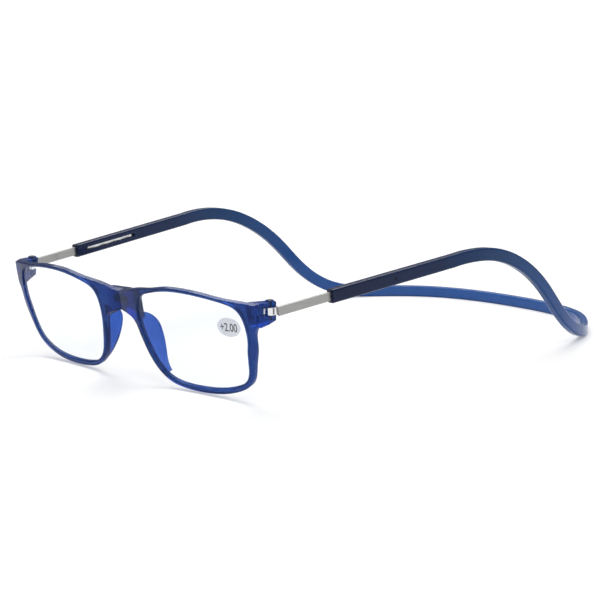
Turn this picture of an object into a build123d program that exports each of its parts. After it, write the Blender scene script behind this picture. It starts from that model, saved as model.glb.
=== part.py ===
from build123d import *

import os
from math import cos, radians, sin, sqrt, tan

os.makedirs("parts", exist_ok=True)

# Reading glasses whose front parts in two at the bridge. Millimetres, +Z up, the wearer faces -Y.
# The origin is under the middle of the neck band's back, on the surface that the glasses lie on.
# Left is the wearer's left, the +X half. The right half is its mirror image.

# Front
lens_half_width = 26.0
lens_half_height = 18.5
bridge_half_gap = 11.2
face_radius = 130.0
wrap_angle = 5.6
tilt_angle = 16.05
front_reach = 219.44
lens_height = 19.17
rim_width = 1.9
rim_depth = 2.4
rim_front_round = 0.35
rim_back_round = 0.6

# Bridge and magnets
bridge_depth = 5.6
bridge_height = 7.0
bridge_rise = 9.8
bridge_block_width = 8.6
bridge_block_rise = 0.2
parting_gap = 0.2
magnet_radius = 1.8
magnet_length = 4.0
magnet_depth = 2.6
magnet_recess = 0.1
glue_gap = 0.02

# Lenses and the power sticker
lens_setback = 0.5
lens_thickness = 2.2
lens_back_radius = 265.0
groove_depth = 0.5
lens_clearance = 0.04
sticker_half_width = 4.75
sticker_half_height = 3.55
sticker_thickness = 0.12
sticker_place_share = (0.722, 0.443)

# Nose pads
pad_reach = 11.8
pad_flare_angle = 10.0
pad_front_share = 0.36
pad_outer_shares = [
    (-1.108, 0.380),
    (-1.090, 0.220),
    (-1.038, -0.081),
    (-0.972, -0.351),
    (-0.865, -0.670),
    (-0.722, -0.876),
]
pad_inner_shares = [
    (-1.046, 0.380),
    (-1.028, 0.220),
    (-0.976, -0.095),
    (-0.908, -0.324),
    (-0.796, -0.611),
    (-0.661, -0.805),
]
pad_side_shares = [
    (0.380, 0.44),
    (0.320, 0.64),
    (0.190, 0.87),
    (0.000, 1.00),
    (-0.243, 0.95),
    (-0.432, 0.83),
    (-0.670, 0.60),
    (-0.892, 0.41),
]

# End piece and hinge
end_overhang = 4.2
end_top_height = 16.5
end_foot_height = 8.2
end_inner_width = 4.8
end_start_depth = 1.0
end_round = 0.35
hinge_inset = 0.4
hinge_setback = 7.9
ear_radius = 2.3
ear_rise = 0.75
upper_ear_height = 1.91
knob_radius = 1.6
knob_height = 0.5
knob_round = 0.3
pocket_half_height = 1.45
pocket_reach = 4.0
barrel_radius = 1.9
barrel_clearance = 0.1
pivot_clearance = 0.05
screw_radius = 0.65
screw_head_radius = 1.05
screw_head_height = 0.6
screw_proud = 0.2
screw_grip = 1.8
driver_slot_width = 0.3
driver_slot_depth = 0.25

# Temple bars
splay_angle = 3.5
rise_angle = 6.0
bar_height = 3.2
bar_thickness = 1.2
bar_side_gap = 0.2
bar_start = 1.0
bar_nose_width = 0.4
bar_bevel_length = 1.2
bar_edge_round = 0.15
web_start = 2.2
web_end = 4.6
web_root_share = (0.92, 0.39)
mark_reach = 15.1
mark_radius = 0.8
mark_width = 0.35
mark_depth = 0.2

# Sleeves at the ends of the neck band
mouth_reach = 25.5
bar_travel = 20.0
sleeve_height = 4.95
sleeve_thickness = 3.4
sleeve_corner = 0.7
socket_spare = 3.0
sleeve_past_socket = 4.0
bar_clearance = 0.08
inner_wall = 0.55
window_setback = 4.2
window_length = 27.0
window_height = 1.2
pin_setback = 30.2
pin_radius = 0.45
pin_recess = 0.1
bar_past_pin = 3.3
spring_thickness = 0.12
spring_height = 2.6
spring_length = 24.0
spring_setback = 5.6
spring_waves = 4

# Neck band
band_height = 4.7
band_thickness = 3.0
band_corner = 0.9
foot_flat = 0.1
band_sections = 18
band_shares = [
    (1.009, 0.899, 1.022),
    (1.006, 0.797, 0.983),
    (0.998, 0.679, 0.841),
    (0.985, 0.572, 0.611),
    (0.966, 0.477, 0.331),
    (0.926, 0.373, 0.110),
    (0.848, 0.258, 0.009),
    (0.722, 0.156, 0.000),
    (0.556, 0.071, 0.000),
    (0.356, 0.023, 0.000),
]

overrun = 2.0


# Frame of the left half front: X to the temple, Y up the lens, Z forward out of the lens
lens_centre_x = lens_half_width + bridge_half_gap
wrap = radians(wrap_angle)
tilt = radians(tilt_angle)
front_plane = Plane(
    origin=(lens_centre_x, -front_reach, lens_height),
    x_dir=(cos(wrap), sin(wrap), 0),
    z_dir=(sin(wrap) * cos(tilt), -cos(wrap) * cos(tilt), -sin(tilt)),
)


def front_point(x, y, behind):
    """A point of the left half front, this far behind its curved face."""
    sag = face_radius - sqrt(face_radius**2 - x**2 - y**2)
    return front_plane.from_local_coords(Vector(x, y, -sag - behind))


def ball_centre(radius, behind):
    """Centre of a ball whose front lies this far behind the middle of the face."""
    return front_plane.from_local_coords(Vector(0, 0, -radius - behind))


# The lens opening, as shares of the half width and half height, each with its share of the rim width
opening_shares = [
    (0.966, 0.054, 1.70),
    (0.975, 0.470, 1.35),
    (0.882, 0.772, 0.85),
    (0.620, 0.922, 0.62),
    (0.308, 0.990, 0.60),
    (-0.038, 1.020, 0.62),
    (-0.385, 0.987, 0.70),
    (-0.700, 0.885, 0.80),
    (-0.940, 0.710, 0.90),
    (-1.015, 0.385, 1.05),
    (-0.996, 0.054, 1.05),
    (-0.921, -0.315, 0.90),
    (-0.785, -0.692, 0.85),
    (-0.600, -0.885, 0.95),
    (-0.350, -0.960, 0.95),
    (0.000, -0.968, 1.05),
    (0.346, -0.935, 1.05),
    (0.640, -0.835, 1.05),
    (0.838, -0.659, 1.15),
    (0.921, -0.324, 1.30),
]
opening = [Vector(x * lens_half_width, y * lens_half_height) for x, y, _ in opening_shares]


def outward(i, distance):
    """Point i of the opening, moved straight out into the rim."""
    along = (opening[(i + 1) % len(opening)] - opening[i - 1]).normalized()
    return opening[i] + Vector(along.Y, -along.X) * distance


def rim_edge(i):
    """The rim's outer edge beside point i of the opening."""
    return outward(i, rim_width * opening_shares[i][2])


def between(start, end, shares):
    """A point this share of the way from start to end, across and up."""
    return Vector(start.X + (end.X - start.X) * shares[0], start.Y + (end.Y - start.Y) * shares[1])


# The outline of a half front, from the parting plane over the brow to the end piece and back below
brow_points, foot_points = (3, 7), (10, 20)
brow_bridge_shares = [(0.25, 0.27), (0.55, 0.66)]
brow_end_share = (0.42, 0.36)
foot_end_share = (0.65, 0.30)
arch_shares = [(0.18, 0.62), (0.52, 0.87)]

parting_x = -lens_centre_x / cos(wrap)
parting_top = Vector(parting_x, bridge_rise + bridge_height / 2)
parting_foot = Vector(parting_x, bridge_rise - bridge_height / 2)
end_top = Vector(lens_half_width + end_overhang, end_top_height)
end_foot = Vector(lens_half_width + end_overhang, end_foot_height)

brow_rim = [rim_edge(i) for i in reversed(range(brow_points[0], brow_points[1] + 1))]
brow = [parting_top]
brow += [between(parting_top, brow_rim[0], share) for share in brow_bridge_shares]
brow += brow_rim
brow += [between(brow_rim[-1], end_top, brow_end_share), end_top]

foot_rim = [rim_edge(0)] + [rim_edge(i) for i in reversed(range(*foot_points))]
foot = [end_foot, between(end_foot, foot_rim[0], foot_end_share)]
foot += foot_rim
foot += [between(foot_rim[-1], parting_foot, share) for share in arch_shares]
foot += [parting_foot]

# The frame material in front of and behind the whole curved face
slab_depth = bridge_depth + face_radius - sqrt(face_radius**2 - lens_centre_x**2 - lens_half_height**2)


def front_outline():
    """The face of a half front without its opening, run on past the parting plane."""
    with BuildSketch(Plane.XY) as face:
        with BuildLine():
            Spline(brow)
            Line(end_top, end_foot)
            Spline(foot)
            Line(parting_foot, parting_foot - Vector(overrun, 0))
            Line(parting_foot - Vector(overrun, 0), parting_top - Vector(overrun, 0))
            Line(parting_top - Vector(overrun, 0), parting_top)
        make_face()
    return face.sketch


def lens_blank(clearance):
    """The lens, grown by a clearance all round."""
    with BuildPart() as blank:
        with BuildSketch(front_plane.offset(overrun)):
            with BuildLine():
                Spline([outward(i, groove_depth + clearance) for i in range(len(opening))], periodic=True)
            make_face()
        extrude(amount=-slab_depth - overrun)
        front_radius = face_radius - lens_setback + clearance
        with Locations(ball_centre(front_radius, lens_setback - clearance)):
            Sphere(front_radius, mode=Mode.INTERSECT)
        back_radius = lens_back_radius - clearance
        with Locations(ball_centre(back_radius, lens_setback + lens_thickness + clearance)):
            Sphere(back_radius, mode=Mode.SUBTRACT)
    return blank.part


# Hinge: a vertical axis behind the end piece, then a plan frame with X out to the bar, Y along it
end_corner = front_point(end_top.X, end_top.Y, 0)
ear_top = end_corner.Z + ear_rise
screw_seat = ear_top + knob_height
pocket_top = ear_top - upper_ear_height
hinge_height = pocket_top - pocket_half_height
pivot = Vector(end_corner.X - hinge_inset, end_corner.Y + hinge_setback, hinge_height)
splay = radians(splay_angle)
hinge_plane = Plane(origin=pivot, x_dir=(cos(splay), -sin(splay), 0), z_dir=(0, 0, 1))
bar_offset = ear_radius + bar_side_gap + bar_thickness / 2
pocket_foot = hinge_height - pocket_half_height

# Frame of the left temple bar and its sleeve: X to the head, Y up, Z along the bar to the back
bar_direction = Vector(tan(splay), 1, tan(radians(rise_angle))).normalized()
bar_plane = Plane(
    origin=hinge_plane.from_local_coords(Vector(bar_offset, 0, 0)),
    x_dir=(-cos(splay), sin(splay), 0),
    z_dir=bar_direction,
)


# Front half: rim, bridge and end piece in one moulding
def front_slab(outline, depth):
    """An outline of the half front, from its curved face to this depth."""
    with BuildPart() as slab:
        with BuildSketch(front_plane.offset(overrun)):
            add(outline)
        extrude(amount=-slab_depth - overrun)
        with Locations(ball_centre(face_radius, 0)):
            Sphere(face_radius, mode=Mode.INTERSECT)
            Sphere(face_radius - depth, mode=Mode.SUBTRACT)
    return slab.part


# The bridge is deeper than the rim, to hold its magnet
with BuildSketch() as bridge_outline:
    add(front_outline())
    with Locations((parting_x - overrun, bridge_rise)):
        Rectangle(
            bridge_block_width + overrun,
            2 * bridge_height,
            align=(Align.MIN, Align.CENTER),
            mode=Mode.INTERSECT,
        )
with BuildPart() as bridge_block:
    add(front_slab(bridge_outline.sketch, bridge_depth))
    rim_back_top = front_point(parting_top.X, parting_top.Y, rim_depth)
    split(bisect_by=Plane.XY.offset(rim_back_top.Z + bridge_block_rise), keep=Keep.BOTTOM)

# The end piece runs back into two ears, one above and one below the hinge barrel
with BuildPart() as end_piece:
    with BuildSketch(front_plane.offset(overrun)):
        with Locations((end_top.X + overrun, end_foot.Y)):
            Rectangle(
                end_inner_width + ear_radius + overrun,
                end_top.Y - end_foot.Y,
                align=(Align.MAX, Align.MIN),
            )
    extrude(amount=-slab_depth - hinge_setback - ear_radius - overrun)
    with Locations(ball_centre(face_radius - end_start_depth, end_start_depth)):
        Sphere(face_radius - end_start_depth, mode=Mode.INTERSECT)
    with BuildSketch(Plane.XY):
        with Locations((pivot.X, pivot.Y)):
            Circle(ear_radius)
        with Locations((end_corner.X, end_corner.Y)):
            Rectangle(end_inner_width, rim_depth, align=(Align.MAX, Align.MIN))
        make_hull()
    extrude(amount=ear_top, mode=Mode.INTERSECT)
    fillet(end_piece.faces().filter_by(Axis.Z).sort_by(Axis.Z)[-1].edges(), end_round)
    with BuildSketch(Plane.XY.offset(pocket_foot)):
        with Locations((pivot.X, pivot.Y - pocket_reach)):
            Rectangle(
                2 * (end_inner_width + overrun),
                pocket_reach + ear_radius + overrun,
                align=(Align.CENTER, Align.MIN),
            )
    extrude(amount=2 * pocket_half_height, mode=Mode.SUBTRACT)
    # Round knob under the head of the hinge screw
    with Locations((pivot.X, pivot.Y, ear_top)):
        Cylinder(knob_radius, knob_height, align=(Align.CENTER, Align.CENTER, Align.MIN))
    fillet(end_piece.edges().group_by(Axis.Z)[-1], knob_round)

magnet_centre = front_point(parting_x, bridge_rise, magnet_depth)
magnet_plane = Plane(
    origin=(parting_gap / 2 + magnet_recess, magnet_centre.Y, magnet_centre.Z),
    z_dir=(1, 0, 0),
)

with BuildSketch() as rim_outline:
    add(front_outline())
    with BuildLine():
        Spline([outward(i, 0) for i in range(len(opening))], periodic=True)
    make_face(mode=Mode.SUBTRACT)
with BuildPart() as rim:
    add(front_slab(rim_outline.sketch, rim_depth))
    curved = rim.faces().filter_by(GeomType.SPHERE).sort_by(Axis.Y)
    fillet(curved[0].edges(), rim_front_round)
    curved = rim.faces().filter_by(GeomType.SPHERE).sort_by(Axis.Y)
    fillet(curved[-1].outer_wire().edges().sort_by(SortBy.LENGTH)[-2:], rim_back_round)
    add(bridge_block.part)
    add(end_piece.part)
    # Groove for the lens
    add(lens_blank(lens_clearance), mode=Mode.SUBTRACT)
    # Parting face, with the magnet's pocket
    split(bisect_by=Plane.YZ.offset(parting_gap / 2), keep=Keep.TOP)
    with BuildSketch(magnet_plane.offset(-overrun)):
        Circle(magnet_radius + glue_gap)
    extrude(amount=magnet_length + glue_gap + overrun, mode=Mode.SUBTRACT)
    # Hinge screw's hole and the seat of its head
    with Locations((pivot.X, pivot.Y, screw_seat)):
        CounterBoreHole(
            screw_radius + glue_gap,
            screw_head_radius + glue_gap,
            screw_head_height - screw_proud,
            screw_seat - pocket_foot + screw_grip + glue_gap,
        )

with BuildPart() as lens:
    add(lens_blank(0))

# Power sticker on the lens's outer corner
with BuildPart() as sticker:
    with BuildSketch(front_plane.offset(overrun)):
        with Locations((lens_half_width * sticker_place_share[0], lens_half_height * sticker_place_share[1])):
            Ellipse(sticker_half_width, sticker_half_height)
    extrude(amount=-slab_depth - overrun)
    lens_front_radius = face_radius - lens_setback
    with Locations(ball_centre(lens_front_radius, lens_setback)):
        Sphere(lens_front_radius + sticker_thickness, mode=Mode.INTERSECT)
        Sphere(lens_front_radius, mode=Mode.SUBTRACT)

with BuildPart() as magnet:
    with BuildSketch(magnet_plane):
        Circle(magnet_radius)
    extrude(amount=magnet_length)

# Nose pad: a crescent behind the nasal rim, flared away from the nose and cut to its side view
side_plane = Plane(origin=front_plane.origin, x_dir=front_plane.y_dir, z_dir=-front_plane.x_dir)
pad_outer = [Vector(x * lens_half_width, y * lens_half_height) for x, y in pad_outer_shares]
pad_inner = [Vector(x * lens_half_width, y * lens_half_height) for x, y in pad_inner_shares]
pad_side = [Vector(y * lens_half_height, n * pad_reach) for y, n in pad_side_shares]
pad_front = pad_front_share * pad_reach
pad_flare = radians(pad_flare_angle)
pad_direction = front_plane.x_dir * sin(pad_flare) - front_plane.z_dir * cos(pad_flare)
with BuildPart() as pad:
    with BuildSketch(front_plane.offset(-pad_front)):
        with BuildLine():
            Spline(pad_outer)
            Line(pad_outer[-1], pad_inner[-1])
            Spline(pad_inner)
            Line(pad_inner[0], pad_outer[0])
        make_face()
    extrude(amount=pad_reach, dir=pad_direction)
    with BuildSketch(side_plane):
        with BuildLine():
            Spline(pad_side)
            Polyline(
                pad_side[-1],
                (pad_side[-1].X, pad_front),
                (pad_side[0].X, pad_front),
                pad_side[0],
            )
        make_face()
    extrude(amount=lens_centre_x, mode=Mode.INTERSECT)
    add(rim.part, mode=Mode.SUBTRACT)

# Hinge screw, with a driver slot in its head
screw_top = Plane.XY.offset(screw_seat + screw_proud)
with BuildPart() as screw:
    with Locations((pivot.X, pivot.Y, screw_seat + screw_proud)):
        Cylinder(screw_head_radius, screw_head_height, align=(Align.CENTER, Align.CENTER, Align.MAX))
        Cylinder(
            screw_radius,
            screw_proud + screw_seat - pocket_foot + screw_grip,
            align=(Align.CENTER, Align.CENTER, Align.MAX),
        )
    fillet(screw.edges().group_by(Axis.Z)[-1], driver_slot_depth)
    with BuildSketch(screw_top):
        with Locations((pivot.X, pivot.Y)):
            Rectangle(2 * screw_head_radius + overrun, driver_slot_width)
    extrude(amount=-driver_slot_depth, mode=Mode.SUBTRACT)

# Hinge barrel and the web that joins it to the bar
bar_inner = bar_offset - bar_thickness / 2
barrel_half_height = pocket_half_height - barrel_clearance
with BuildPart() as barrel:
    with BuildSketch(hinge_plane.offset(-barrel_half_height)):
        Circle(barrel_radius)
        with BuildLine():
            Polyline(
                (0, 0),
                (0, barrel_radius),
                (bar_inner, web_end),
                (bar_inner, web_start),
                (barrel_radius * web_root_share[0], barrel_radius * web_root_share[1]),
                close=True,
            )
        make_face()
        Circle(screw_radius + pivot_clearance, mode=Mode.SUBTRACT)
    extrude(amount=2 * barrel_half_height)

# Temple bar: X to the head and Y along the bar in its plan, with a slot in its tail for the stop pin
bar_plan = Plane(origin=bar_plane.origin, x_dir=bar_plane.x_dir, z_dir=-bar_plane.y_dir)
bar_side = Plane(origin=bar_plane.origin, x_dir=bar_direction, z_dir=bar_plane.x_dir)
pin_reach = mouth_reach + pin_setback
bar_end = pin_reach + bar_past_pin
with BuildPart() as bar:
    with BuildSketch(bar_plan):
        with BuildLine():
            Polyline(
                (-bar_thickness / 2, bar_start),
                (-bar_thickness / 2 + bar_nose_width, bar_start),
                (bar_thickness / 2, bar_start + bar_bevel_length),
                (bar_thickness / 2, bar_end),
                (-bar_thickness / 2, bar_end),
                close=True,
            )
        make_face()
    extrude(amount=bar_height / 2, both=True)
    fillet(bar.edges().filter_by(Axis(bar_plane.origin, bar_direction)), bar_edge_round)
    with BuildSketch(bar_side):
        with Locations((pin_reach - bar_travel / 2, 0)):
            SlotCenterToCenter(bar_travel, 2 * (pin_radius + bar_clearance))
    extrude(amount=bar_thickness, both=True, mode=Mode.SUBTRACT)
    # Press mark on the inner face
    with BuildSketch(bar_side.offset(bar_thickness / 2)):
        with Locations((mark_reach, 0)):
            Circle(mark_radius)
            Circle(mark_radius - mark_width, mode=Mode.SUBTRACT)
            Rectangle(mark_radius, mark_radius, align=(Align.MIN, Align.CENTER), mode=Mode.SUBTRACT)
    extrude(amount=-mark_depth, mode=Mode.SUBTRACT)

# Left half of the neck band: a straight sleeve that holds the bar, then the curve round the neck
socket_end = bar_end + bar_travel + socket_spare
sleeve_end = socket_end + sleeve_past_socket
spring_start = mouth_reach + spring_setback
spring_room = (sleeve_thickness - bar_thickness) / 2 - inner_wall
foot_height = band_height / 2 - foot_flat
sleeve_exit = bar_plane.from_local_coords(Vector(0, 0, sleeve_end))
band_points = [bar_plane.from_local_coords(Vector(0, 0, mouth_reach)), sleeve_exit]
for x, y, z in band_shares:
    height = foot_height + z * (sleeve_exit.Z - foot_height)
    band_points.append(Vector(x * sleeve_exit.X, y * sleeve_exit.Y, height))
band_points.append(Vector(0, 0, foot_height))
band_points += [Vector(-point.X, point.Y, point.Z) for point in reversed(band_points[:-1])]
band_path = Spline(band_points)
curve_start = band_path.param_at_point(sleeve_exit)
curve_end_share = 0.5
with BuildPart() as half_band:
    for i in range(band_sections + 1):
        share = i / band_sections
        t = curve_start + (curve_end_share - curve_start) * share
        along = band_path % t if i else bar_direction
        across = along.cross(Vector(0, 0, 1)).normalized()
        with BuildSketch(Plane(origin=band_path @ t, x_dir=across, z_dir=along)):
            RectangleRounded(
                sleeve_thickness + (band_thickness - sleeve_thickness) * share,
                sleeve_height + (band_height - sleeve_height) * share,
                sleeve_corner + (band_corner - sleeve_corner) * share,
            )
    loft()
    with BuildSketch(bar_plane.offset(mouth_reach)):
        RectangleRounded(sleeve_thickness, sleeve_height, sleeve_corner)
    extrude(amount=sleeve_end - mouth_reach)
    # Flat foot along the back of the band
    split(bisect_by=Plane.XY, keep=Keep.TOP)

with BuildPart() as band:
    add(half_band.part)
    # Socket for the bar, with room for the spring on the side of the head
    with BuildSketch(bar_plane.offset(mouth_reach - overrun)):
        Rectangle(bar_thickness + 2 * bar_clearance, bar_height + 2 * bar_clearance)
    extrude(amount=socket_end - mouth_reach + overrun, mode=Mode.SUBTRACT)
    with BuildSketch(bar_plane.offset(spring_start - bar_clearance)):
        with Locations((bar_thickness / 2, 0)):
            Rectangle(spring_room, spring_height + 2 * bar_clearance, align=(Align.MIN, Align.CENTER))
    extrude(amount=spring_length + 2 * bar_clearance, mode=Mode.SUBTRACT)
    # Window over the spring
    with BuildSketch(bar_side):
        with Locations((mouth_reach + window_setback + window_length / 2, 0)):
            SlotOverall(window_length, window_height)
    extrude(amount=sleeve_thickness, mode=Mode.SUBTRACT)
    # Hole for the stop pin
    with BuildSketch(bar_side):
        with Locations((pin_reach, 0)):
            Circle(pin_radius + glue_gap)
    extrude(amount=-sleeve_thickness, mode=Mode.SUBTRACT)
    mirror(about=Plane.YZ)

with BuildPart() as pin:
    with BuildSketch(bar_side.offset(pin_recess - sleeve_thickness / 2)):
        with Locations((pin_reach, 0)):
            Circle(pin_radius)
    extrude(amount=(sleeve_thickness + bar_thickness) / 2 - pin_recess)

# Wavy leaf spring, which brakes the bar in its socket
spring_low = bar_thickness / 2 + bar_clearance
spring_rise = spring_room - bar_clearance - spring_thickness - glue_gap
crests = []
for i in range(2 * spring_waves + 1):
    height = spring_low if i % 2 else spring_low + spring_rise
    crests.append(Vector(height, spring_start + i * spring_length / (2 * spring_waves)))
with BuildPart() as spring:
    with BuildSketch(bar_plan):
        with BuildLine():
            Spline(crests)
            Spline([crest + Vector(spring_thickness, 0) for crest in crests])
            Line(crests[0], crests[0] + Vector(spring_thickness, 0))
            Line(crests[-1], crests[-1] + Vector(spring_thickness, 0))
        make_face()
    extrude(amount=spring_height / 2, both=True)

# The pieces that come in pairs
pairs = {
    "rim": rim,
    "lens": lens,
    "nose_pad": pad,
    "bridge_magnet": magnet,
    "hinge_screw": screw,
    "hinge_barrel": barrel,
    "temple_bar": bar,
    "sleeve_spring": spring,
    "stop_pin": pin,
}
for name, left in pairs.items():
    with BuildPart() as right:
        mirror(left.part, about=Plane.YZ)
    left.part.label = f"{name}_left"
    right.part.label = f"{name}_right"
    export_step(left.part, f"parts/{name}_left.step")
    export_step(right.part, f"parts/{name}_right.step")

sticker.part.label = "power_sticker"
export_step(sticker.part, "parts/power_sticker.step")
band.part.label = "neck_band"
export_step(band.part, "parts/neck_band.step")

mouth = bar_plane.from_local_coords(Vector(0, 0, mouth_reach))
print(f"hinge axis of the left front: {pivot.X:.3f}, {pivot.Y:.3f}, {pivot.Z:.3f}")
print(f"bar direction: {bar_direction.X:.5f}, {bar_direction.Y:.5f}, {bar_direction.Z:.5f}")
print(f"sleeve mouth: {mouth.X:.3f}, {mouth.Y:.3f}, {mouth.Z:.3f}")
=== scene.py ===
import math

import bmesh
import bpy
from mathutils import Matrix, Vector


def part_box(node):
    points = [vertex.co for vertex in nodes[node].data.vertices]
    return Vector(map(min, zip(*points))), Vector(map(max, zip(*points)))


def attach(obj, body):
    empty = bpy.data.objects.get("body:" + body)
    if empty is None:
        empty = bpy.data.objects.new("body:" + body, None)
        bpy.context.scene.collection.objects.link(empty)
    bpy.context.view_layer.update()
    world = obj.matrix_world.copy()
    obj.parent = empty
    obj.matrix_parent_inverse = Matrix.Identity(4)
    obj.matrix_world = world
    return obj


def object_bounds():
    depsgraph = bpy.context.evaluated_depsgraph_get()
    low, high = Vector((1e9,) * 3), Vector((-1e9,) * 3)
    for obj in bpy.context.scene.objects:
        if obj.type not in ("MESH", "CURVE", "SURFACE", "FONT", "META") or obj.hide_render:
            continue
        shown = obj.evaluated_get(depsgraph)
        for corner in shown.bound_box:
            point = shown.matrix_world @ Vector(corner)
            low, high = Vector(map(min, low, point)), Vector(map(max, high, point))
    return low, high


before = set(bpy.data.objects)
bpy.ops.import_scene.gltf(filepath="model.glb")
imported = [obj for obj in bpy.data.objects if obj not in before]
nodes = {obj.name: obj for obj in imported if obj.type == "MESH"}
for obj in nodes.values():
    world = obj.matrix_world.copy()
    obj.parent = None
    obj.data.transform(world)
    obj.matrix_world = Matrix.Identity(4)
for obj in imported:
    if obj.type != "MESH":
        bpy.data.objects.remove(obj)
cadLow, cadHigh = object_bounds()
scene = bpy.context.scene
scene.view_settings.view_transform = "Standard"
print("frame loaded:", len(nodes), "nodes")


# Settings that the materials share, and node helpers
patternLook = {
    "coarseDetail": 2.0,
    "fineDetail": 3.0,
    "lowEnd": 0.3,
    "highEnd": 0.7,
    "edgeSamples": 4,
}


def addNode(tree, kind, values=None, **settings):
    node = tree.nodes.new(kind)
    for name, value in settings.items():
        setattr(node, name, value)
    for name, value in (values or {}).items():
        node.inputs[name].default_value = value
    return node


def startMaterial(name):
    material = bpy.data.materials.new(name)
    material.use_nodes = True
    tree = material.node_tree
    place = addNode(tree, "ShaderNodeTexCoord").outputs["Object"]
    return material, tree, tree.nodes["Principled BSDF"], place


def stretch(tree, place, scale):
    # a pattern drawn out along one axis
    mapping = addNode(tree, "ShaderNodeMapping", {"Scale": scale})
    tree.links.new(place, mapping.inputs["Vector"])
    return mapping.outputs["Vector"]


def noise(tree, place, scale, detail=patternLook["coarseDetail"]):
    cloud = addNode(tree, "ShaderNodeTexNoise", {"Scale": scale, "Detail": detail})
    tree.links.new(place, cloud.inputs["Vector"])
    return cloud.outputs["Fac"]


def spread(tree, amount, low, high):
    # turns the middle of a noise into a value from low to high
    ranged = addNode(
        tree,
        "ShaderNodeMapRange",
        {
            "From Min": patternLook["lowEnd"],
            "From Max": patternLook["highEnd"],
            "To Min": low,
            "To Max": high,
        },
    )
    tree.links.new(amount, ranged.inputs["Value"])
    return ranged.outputs["Result"]


def tint(tree, amount, stops):
    # colours along a 0 to 1 amount
    ramp = addNode(tree, "ShaderNodeValToRGB")
    elements = ramp.color_ramp.elements
    while len(elements) < len(stops):
        elements.new(1.0)
    for element, (position, colour) in zip(elements, stops):
        element.position = position
        element.color = (*colour, 1)
    tree.links.new(amount, ramp.inputs["Fac"])
    return ramp.outputs["Color"]


def twoTones(tree, amount, low, high):
    # the middle of a noise runs from one colour to another
    return tint(tree, amount, [(patternLook["lowEnd"], low), (patternLook["highEnd"], high)])


def finishSurface(tree, shader, height, bumpDepth, bumpStrength, edgeRound):
    # a fine bump over edges that catch the light as if rounded
    edges = addNode(tree, "ShaderNodeBevel", {"Radius": edgeRound}, samples=patternLook["edgeSamples"])
    bump = addNode(tree, "ShaderNodeBump", {"Strength": bumpStrength, "Distance": bumpDepth})
    tree.links.new(height, bump.inputs["Height"])
    tree.links.new(edges.outputs["Normal"], bump.inputs["Normal"])
    tree.links.new(bump.outputs["Normal"], shader.inputs["Normal"])


def dress(names, material):
    for name in names:
        slots = nodes[name].data.materials
        slots.clear()
        slots.append(material)


def bothSides(name):
    return [name + "_left", name + "_right"]


# Front and nose pads: clear blue plastic that darkens with depth
frontLook = {
    "deep": (0.034, 0.092, 0.30),
    "bright": (0.052, 0.130, 0.40),
    "cloudScale": 70.0,
    "clear": 0.76,
    "ior": 1.24,
    "roughnessLow": 0.06,
    "roughnessHigh": 0.12,
    "grainScale": 900.0,
    "grainDepth": 0.00002,
    "grainStrength": 0.03,
    "edgeRound": 0.00022,
    "inkColour": (0.12, 0.38, 0.78),
    "inkDensity": 460.0,
    "sheen": 0.15,
}
padLook = dict(
    frontLook,
    deep=(0.045, 0.155, 0.58),
    bright=(0.070, 0.215, 0.70),
    clear=0.85,
    inkDensity=420.0,
    sheen=0.2,
)


def clearPlastic(name, look):
    material, tree, shader, place = startMaterial(name)
    cloud = noise(tree, place, look["cloudScale"])
    colour = twoTones(tree, cloud, look["deep"], look["bright"])
    tree.links.new(colour, shader.inputs["Base Color"])
    grain = noise(tree, place, look["grainScale"], patternLook["fineDetail"])
    rough = spread(tree, grain, look["roughnessLow"], look["roughnessHigh"])
    tree.links.new(rough, shader.inputs["Roughness"])
    shader.inputs["Transmission Weight"].default_value = look["clear"]
    shader.inputs["IOR"].default_value = look["ior"]
    shader.inputs["Specular IOR Level"].default_value = look["sheen"]
    finishSurface(tree, shader, grain, look["grainDepth"], look["grainStrength"], look["edgeRound"])
    ink = addNode(
        tree,
        "ShaderNodeVolumeAbsorption",
        {"Color": (*look["inkColour"], 1), "Density": look["inkDensity"]},
    )
    tree.links.new(ink.outputs["Volume"], tree.nodes["Material Output"].inputs["Volume"])
    return material


dress(bothSides("rim"), clearPlastic("frontPlastic", frontLook))
dress(bothSides("nose_pad"), clearPlastic("padPlastic", padLook))
print("front and pads done")


# Lenses: polished, with a faint cool cast, and they let the lamps through to the floor
lensLook = {
    "tint": (0.955, 0.975, 1.0),
    "edge": (0.93, 0.96, 1.0),
    "tintAt": 0.8,
    "edgeAt": 0.2,
    "cloudScale": 40.0,
    "ior": 1.15,
    "sheen": 0.15,
    "roughness": 0.0,
}


def lensMaterial(look):
    material, tree, shader, place = startMaterial("lensPlastic")
    cloud = noise(tree, place, look["cloudScale"])
    colour = tint(tree, cloud, [(look["edgeAt"], look["edge"]), (look["tintAt"], look["tint"])])
    tree.links.new(colour, shader.inputs["Base Color"])
    shader.inputs["Roughness"].default_value = look["roughness"]
    shader.inputs["IOR"].default_value = look["ior"]
    shader.inputs["Specular IOR Level"].default_value = look["sheen"]
    shader.inputs["Transmission Weight"].default_value = 1.0
    path = addNode(tree, "ShaderNodeLightPath")
    through = addNode(tree, "ShaderNodeBsdfTransparent")
    mix = addNode(tree, "ShaderNodeMixShader")
    tree.links.new(path.outputs["Is Shadow Ray"], mix.inputs[0])
    tree.links.new(shader.outputs["BSDF"], mix.inputs[1])
    tree.links.new(through.outputs["BSDF"], mix.inputs[2])
    tree.links.new(mix.outputs["Shader"], tree.nodes["Material Output"].inputs["Surface"])
    return material


dress(bothSides("lens"), lensMaterial(lensLook))
print("lenses done")


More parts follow.
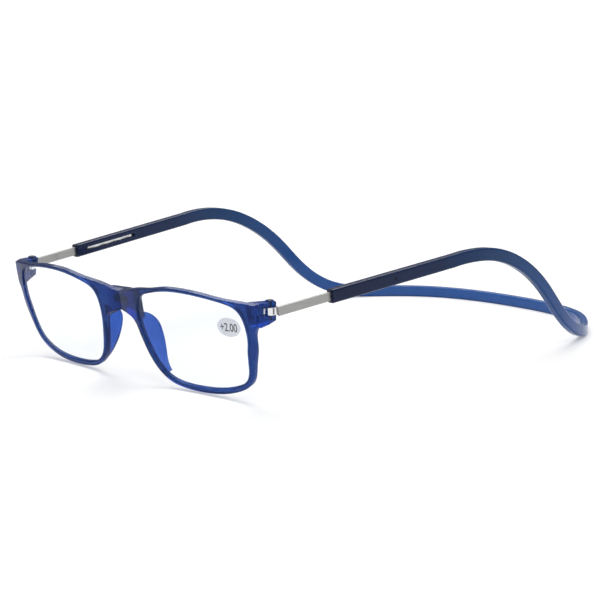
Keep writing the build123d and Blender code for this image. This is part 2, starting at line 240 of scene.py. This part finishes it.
# Neck band: almost black blue round the bars, and clearer towards the neck
bandLook = {
    "colours": [
        (0.0, (0.010, 0.022, 0.085)),
        (0.30, (0.010, 0.036, 0.125)),
        (0.48, (0.013, 0.070, 0.21)),
        (0.72, (0.036, 0.125, 0.41)),
        (1.0, (0.046, 0.155, 0.48)),
    ],
    "clear": 0.35,
    "ior": 1.36,
    "sheen": 0.25,
    "streakScale": 900.0,
    "streakStretch": (1.0, 0.02, 1.0),
    "roughnessLow": 0.08,
    "roughnessHigh": 0.15,
    "grainDepth": 0.00002,
    "grainStrength": 0.06,
    "edgeRound": 0.0002,
    "inkColour": (0.05, 0.38, 0.80),
    "inkDensity": 170.0,
}


def bandMaterial(look):
    material, tree, shader, place = startMaterial("bandPlastic")
    axes = addNode(tree, "ShaderNodeSeparateXYZ")
    tree.links.new(place, axes.inputs["Vector"])
    low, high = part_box("neck_band")
    along = addNode(tree, "ShaderNodeMapRange", {"From Min": low.y, "From Max": high.y})
    tree.links.new(axes.outputs["Y"], along.inputs["Value"])
    tree.links.new(tint(tree, along.outputs["Result"], look["colours"]), shader.inputs["Base Color"])
    drawn = stretch(tree, place, look["streakStretch"])
    streaks = noise(tree, drawn, look["streakScale"], patternLook["fineDetail"])
    rough = spread(tree, streaks, look["roughnessLow"], look["roughnessHigh"])
    tree.links.new(rough, shader.inputs["Roughness"])
    shader.inputs["Transmission Weight"].default_value = look["clear"]
    shader.inputs["IOR"].default_value = look["ior"]
    shader.inputs["Specular IOR Level"].default_value = look["sheen"]
    finishSurface(tree, shader, streaks, look["grainDepth"], look["grainStrength"], look["edgeRound"])
    ink = addNode(
        tree,
        "ShaderNodeVolumeAbsorption",
        {"Color": (*look["inkColour"], 1), "Density": look["inkDensity"]},
    )
    tree.links.new(ink.outputs["Volume"], tree.nodes["Material Output"].inputs["Volume"])
    return material


dress(["neck_band"], bandMaterial(bandLook))
print("neck band done")


# Metal: brushed bars and springs, bright barrels, dark magnets, screws and pins
barLook = {
    "low": (0.34, 0.34, 0.33),
    "high": (0.42, 0.42, 0.41),
    "grain": (1.0, 0.015, 1.0),
    "grainScale": 2600.0,
    "roughnessLow": 0.28,
    "roughnessHigh": 0.42,
    "bumpDepth": 0.00001,
    "bumpStrength": 0.25,
    "edgeRound": 0.0001,
}
springLook = dict(
    barLook,
    low=(0.62, 0.63, 0.61),
    high=(0.78, 0.79, 0.77),
    roughnessLow=0.2,
    roughnessHigh=0.3,
)
barrelLook = dict(
    barLook,
    low=(0.72, 0.72, 0.73),
    high=(0.85, 0.85, 0.86),
    grain=(1.0, 1.0, 0.1),
    roughnessLow=0.10,
    roughnessHigh=0.2,
)
magnetLook = dict(
    barrelLook,
    low=(0.020, 0.026, 0.050),
    high=(0.032, 0.040, 0.070),
    roughnessLow=0.3,
    roughnessHigh=0.4,
)
screwLook = dict(
    barLook,
    low=(0.10, 0.10, 0.12),
    high=(0.20, 0.20, 0.22),
    grain=(1.0, 1.0, 1.0),
    roughnessLow=0.22,
    roughnessHigh=0.35,
)
pinLook = dict(screwLook, low=(0.008, 0.008, 0.012), high=(0.014, 0.014, 0.020))


def metalMaterial(name, look):
    material, tree, shader, place = startMaterial(name)
    drawn = stretch(tree, place, look["grain"])
    grain = noise(tree, drawn, look["grainScale"], patternLook["fineDetail"])
    tree.links.new(twoTones(tree, grain, look["low"], look["high"]), shader.inputs["Base Color"])
    rough = spread(tree, grain, look["roughnessLow"], look["roughnessHigh"])
    tree.links.new(rough, shader.inputs["Roughness"])
    shader.inputs["Metallic"].default_value = 1.0
    finishSurface(tree, shader, grain, look["bumpDepth"], look["bumpStrength"], look["edgeRound"])
    return material


dress(bothSides("temple_bar"), metalMaterial("barSteel", barLook))
dress(bothSides("sleeve_spring"), metalMaterial("springSteel", springLook))
dress(bothSides("hinge_barrel"), metalMaterial("barrelNickel", barrelLook))
dress(bothSides("bridge_magnet"), metalMaterial("magnetNickel", magnetLook))
dress(bothSides("hinge_screw"), metalMaterial("screwSteel", screwLook))
dress(bothSides("stop_pin"), metalMaterial("pinSteel", pinLook))
print("metal done")


# Power sticker: pale film with plain numerals printed on it
stickerLook = {
    "low": (0.86, 0.88, 0.97),
    "high": (0.90, 0.92, 1.0),
    "cloudScale": 500.0,
    "roughnessLow": 0.30,
    "roughnessHigh": 0.42,
    "bumpDepth": 0.00001,
    "bumpStrength": 0.2,
    "edgeRound": 0.00005,
}
numeralLook = dict(
    stickerLook,
    low=(0.045, 0.045, 0.055),
    high=(0.080, 0.080, 0.095),
    words="+2.00",
    widthShare=0.72,
    heightShare=0.43,
    inkThickness=0.00003,
    lift=0.00001,
    startDistance=0.005,
    strokeGrowth=0.004,
    mergeDistance=0.00001,
    outside=(0, -1, 0),
    facingLimit=0.5,
)


def filmMaterial(name, look):
    material, tree, shader, place = startMaterial(name)
    cloud = noise(tree, place, look["cloudScale"], patternLook["fineDetail"])
    tree.links.new(twoTones(tree, cloud, look["low"], look["high"]), shader.inputs["Base Color"])
    rough = spread(tree, cloud, look["roughnessLow"], look["roughnessHigh"])
    tree.links.new(rough, shader.inputs["Roughness"])
    finishSurface(tree, shader, cloud, look["bumpDepth"], look["bumpStrength"], look["edgeRound"])
    return material


def outerFacing(piece, towards, limit):
    # the mean direction of the faces that look towards a side
    total = Vector()
    for face in piece.data.polygons:
        if face.normal.dot(towards) > limit:
            total += face.normal * face.area
    return total.normalized()


def makeNumerals(look):
    sticker = nodes["power_sticker"]
    low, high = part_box("power_sticker")
    middle = (low + high) / 2
    outward = outerFacing(sticker, Vector(look["outside"]), look["facingLimit"])
    upward = (Vector((0, 0, 1)) - outward * outward.z).normalized()
    across = upward.cross(outward).normalized()
    corners = [vertex.co - middle for vertex in sticker.data.vertices]
    width = 2 * max(corner.dot(across) for corner in corners) * look["widthShare"]
    height = 2 * max(corner.dot(upward) for corner in corners) * look["heightShare"]

    words = bpy.data.curves.new("numeralWords", "FONT")
    words.body = look["words"]
    words.offset = look["strokeGrowth"]
    holder = bpy.data.objects.new("numeralHolder", words)
    scene.collection.objects.link(holder)
    bpy.context.view_layer.update()
    flat = bpy.data.meshes.new_from_object(holder.evaluated_get(bpy.context.evaluated_depsgraph_get()))
    bpy.data.objects.remove(holder)

    shape = bmesh.new()
    shape.from_mesh(flat)
    bmesh.ops.remove_doubles(shape, verts=shape.verts, dist=look["mergeDistance"])
    left = min(vertex.co.x for vertex in shape.verts)
    right = max(vertex.co.x for vertex in shape.verts)
    foot = min(vertex.co.y for vertex in shape.verts)
    top = max(vertex.co.y for vertex in shape.verts)
    for vertex in shape.verts:
        x = ((vertex.co.x - left) / (right - left) - 0.5) * width
        y = ((vertex.co.y - foot) / (top - foot) - 0.5) * height
        above = middle + across * x + upward * y + outward * look["startDistance"]
        spot = sticker.ray_cast(above, -outward)[1]
        vertex.co = spot + outward * look["lift"]
    bmesh.ops.recalc_face_normals(shape, faces=shape.faces)
    bmesh.ops.solidify(shape, geom=shape.faces[:], thickness=look["inkThickness"])
    bmesh.ops.recalc_face_normals(shape, faces=shape.faces)
    mesh = bpy.data.meshes.new("powerNumerals")
    shape.to_mesh(mesh)
    shape.free()
    mesh.materials.append(filmMaterial("numeralInk", look))
    numerals = bpy.data.objects.new("powerNumerals", mesh)
    scene.collection.objects.link(numerals)
    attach(numerals, "front_left")


dress(["power_sticker"], filmMaterial("stickerFilm", stickerLook))
makeNumerals(numeralLook)
print("sticker and numerals done")


# Floor, light and the white background
stageLook = {
    "floorRadius": 6.0,
    "floorCorners": 64,
    "floorCloudScale": 3.0,
    "floorRoughness": 0.9,
    "floorLow": (0.80, 0.80, 0.80),
    "floorHigh": (0.83, 0.83, 0.83),
    "floorGlow": 0.26,
    "farGlow": 0.62,
    "glowReach": (0.30, 1.10),
    "skyLight": 0.52,
    "horizonGloss": 0.22,
    "glossBand": (0.25, 0.90),
    "background": 1.0,
    "white": (1, 1, 1),
}
lampLook = {
    "backSoftbox": {"place": (-0.28, 0.22, 0.92), "size": 0.75, "power": 5.6},
    "frontSoftbox": {"place": (0.55, -0.55, 0.75), "size": 0.40, "power": 1.2},
    # adds only the shine along the top edges
    "edgeSoftbox": {"place": (-0.62, 0.25, 0.68), "size": 0.60, "power": 2.0, "onlyGloss": True},
}


def seenDirectly(tree, kinds=("Is Glossy Ray", "Is Transmission Ray")):
    # 1 for rays that show the background: those from the camera and these others
    path = addNode(tree, "ShaderNodeLightPath")
    most = path.outputs["Is Camera Ray"]
    for name in kinds:
        larger = addNode(tree, "ShaderNodeMath", operation="MAXIMUM")
        tree.links.new(most, larger.inputs[0])
        tree.links.new(path.outputs[name], larger.inputs[1])
        most = larger.outputs["Value"]
    return most


def makeFloor(look):
    shape = bmesh.new()
    bmesh.ops.create_circle(
        shape, cap_ends=True, segments=look["floorCorners"], radius=look["floorRadius"]
    )
    mesh = bpy.data.meshes.new("floor")
    shape.to_mesh(mesh)
    shape.free()
    floor = bpy.data.objects.new("floor", mesh)
    scene.collection.objects.link(floor)
    material, tree, shader, place = startMaterial("paleFloor")
    cloud = noise(tree, place, look["floorCloudScale"])
    colour = twoTones(tree, cloud, look["floorLow"], look["floorHigh"])
    tree.links.new(colour, shader.inputs["Base Color"])
    shader.inputs["Roughness"].default_value = look["floorRoughness"]
    shader.inputs["Specular IOR Level"].default_value = 0.0
    shader.inputs["Emission Color"].default_value = (*look["white"], 1)
    # the glow makes up for the lamps' light, which fades with distance
    distance = addNode(tree, "ShaderNodeVectorMath", operation="LENGTH")
    tree.links.new(place, distance.inputs[0])
    near, far = look["glowReach"]
    level = addNode(
        tree,
        "ShaderNodeMapRange",
        {"From Min": near, "From Max": far, "To Min": look["floorGlow"], "To Max": look["farGlow"]},
    )
    tree.links.new(distance.outputs["Value"], level.inputs["Value"])
    glow = addNode(tree, "ShaderNodeMath", operation="MULTIPLY")
    tree.links.new(seenDirectly(tree), glow.inputs[0])
    tree.links.new(level.outputs["Result"], glow.inputs[1])
    tree.links.new(glow.outputs["Value"], shader.inputs["Emission Strength"])
    mesh.materials.append(material)


def makeWorld(look):
    world = bpy.data.worlds.new("studio")
    scene.world = world
    world.use_nodes = True
    tree = world.node_tree
    sky = tree.nodes["Background"]
    sky.inputs["Color"].default_value = (*look["white"], 1)
    level = addNode(tree, "ShaderNodeMapRange", {"To Min": look["skyLight"], "To Max": look["background"]})
    tree.links.new(seenDirectly(tree, ["Is Transmission Ray"]), level.inputs["Value"])
    # gloss shows a sky that brightens overhead
    axes = addNode(tree, "ShaderNodeSeparateXYZ")
    tree.links.new(addNode(tree, "ShaderNodeTexCoord").outputs["Generated"], axes.inputs["Vector"])
    dim, full = look["glossBand"]
    dome = addNode(
        tree,
        "ShaderNodeMapRange",
        {"From Min": dim, "From Max": full, "To Min": look["horizonGloss"], "To Max": look["background"]},
    )
    tree.links.new(axes.outputs["Z"], dome.inputs["Value"])
    mix = addNode(tree, "ShaderNodeMix")
    tree.links.new(addNode(tree, "ShaderNodeLightPath").outputs["Is Glossy Ray"], mix.inputs["Factor"])
    tree.links.new(level.outputs["Result"], mix.inputs["A"])
    tree.links.new(dome.outputs["Result"], mix.inputs["B"])
    tree.links.new(mix.outputs["Result"], sky.inputs["Strength"])


def makeLamps(lamps):
    target = (cadLow + cadHigh) / 2
    for name, look in lamps.items():
        light = bpy.data.lights.new(name, "AREA")
        light.size = look["size"]
        light.energy = look["power"]
        lamp = bpy.data.objects.new(name, light)
        lamp.location = look["place"]
        lamp.visible_diffuse = not look.get("onlyGloss", False)
        lamp.rotation_euler = (target - Vector(look["place"])).to_track_quat("-Z", "Y").to_euler()
        scene.collection.objects.link(lamp)


makeFloor(stageLook)
makeWorld(stageLook)
makeLamps(lampLook)
print("stage done")


# Camera at the photograph's view
cameraLook = {
    "place": (0.6211, -0.7341, 0.1752),
    "azimuth": 45.74,
    "elevation": 10.22,
    "lens": 134.7,
    "sensor": 36.0,
}


def makeCamera(look):
    turn, lift = math.radians(look["azimuth"]), math.radians(look["elevation"])
    back = Vector((math.sin(turn) * math.cos(lift), -math.cos(turn) * math.cos(lift), math.sin(lift)))
    view = bpy.data.cameras.new("camera")
    view.lens = look["lens"]
    view.sensor_width = look["sensor"]
    camera = bpy.data.objects.new("camera", view)
    camera.location = look["place"]
    camera.rotation_euler = (-back).to_track_quat("-Z", "Y").to_euler()
    scene.collection.objects.link(camera)
    scene.camera = camera


makeCamera(cameraLook)
